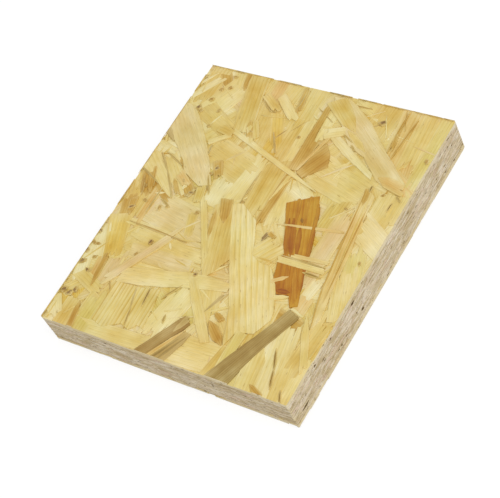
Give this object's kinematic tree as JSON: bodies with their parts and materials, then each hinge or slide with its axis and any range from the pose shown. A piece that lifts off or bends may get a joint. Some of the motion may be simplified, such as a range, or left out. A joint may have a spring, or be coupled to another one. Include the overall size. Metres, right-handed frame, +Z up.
{
  "type": "oriented strand board panel",
  "caption": "Flat rectangular offcut of oriented strand board with square-sawn edges, for sheathing, decking and packing.",
  "frame": {"origin": "middle of the underside", "axes": "+X along the short side, +Y along the long side, +Z up through the thickness"},
  "size_m": [0.127, 0.144, 0.018],
  "materials": {
    "strand_board": "pressed and unsanded faces, sawn edges"
  },
  "bodies": {
    "root": {"osb_panel": "strand_board"}
  },
  "joints": []
}
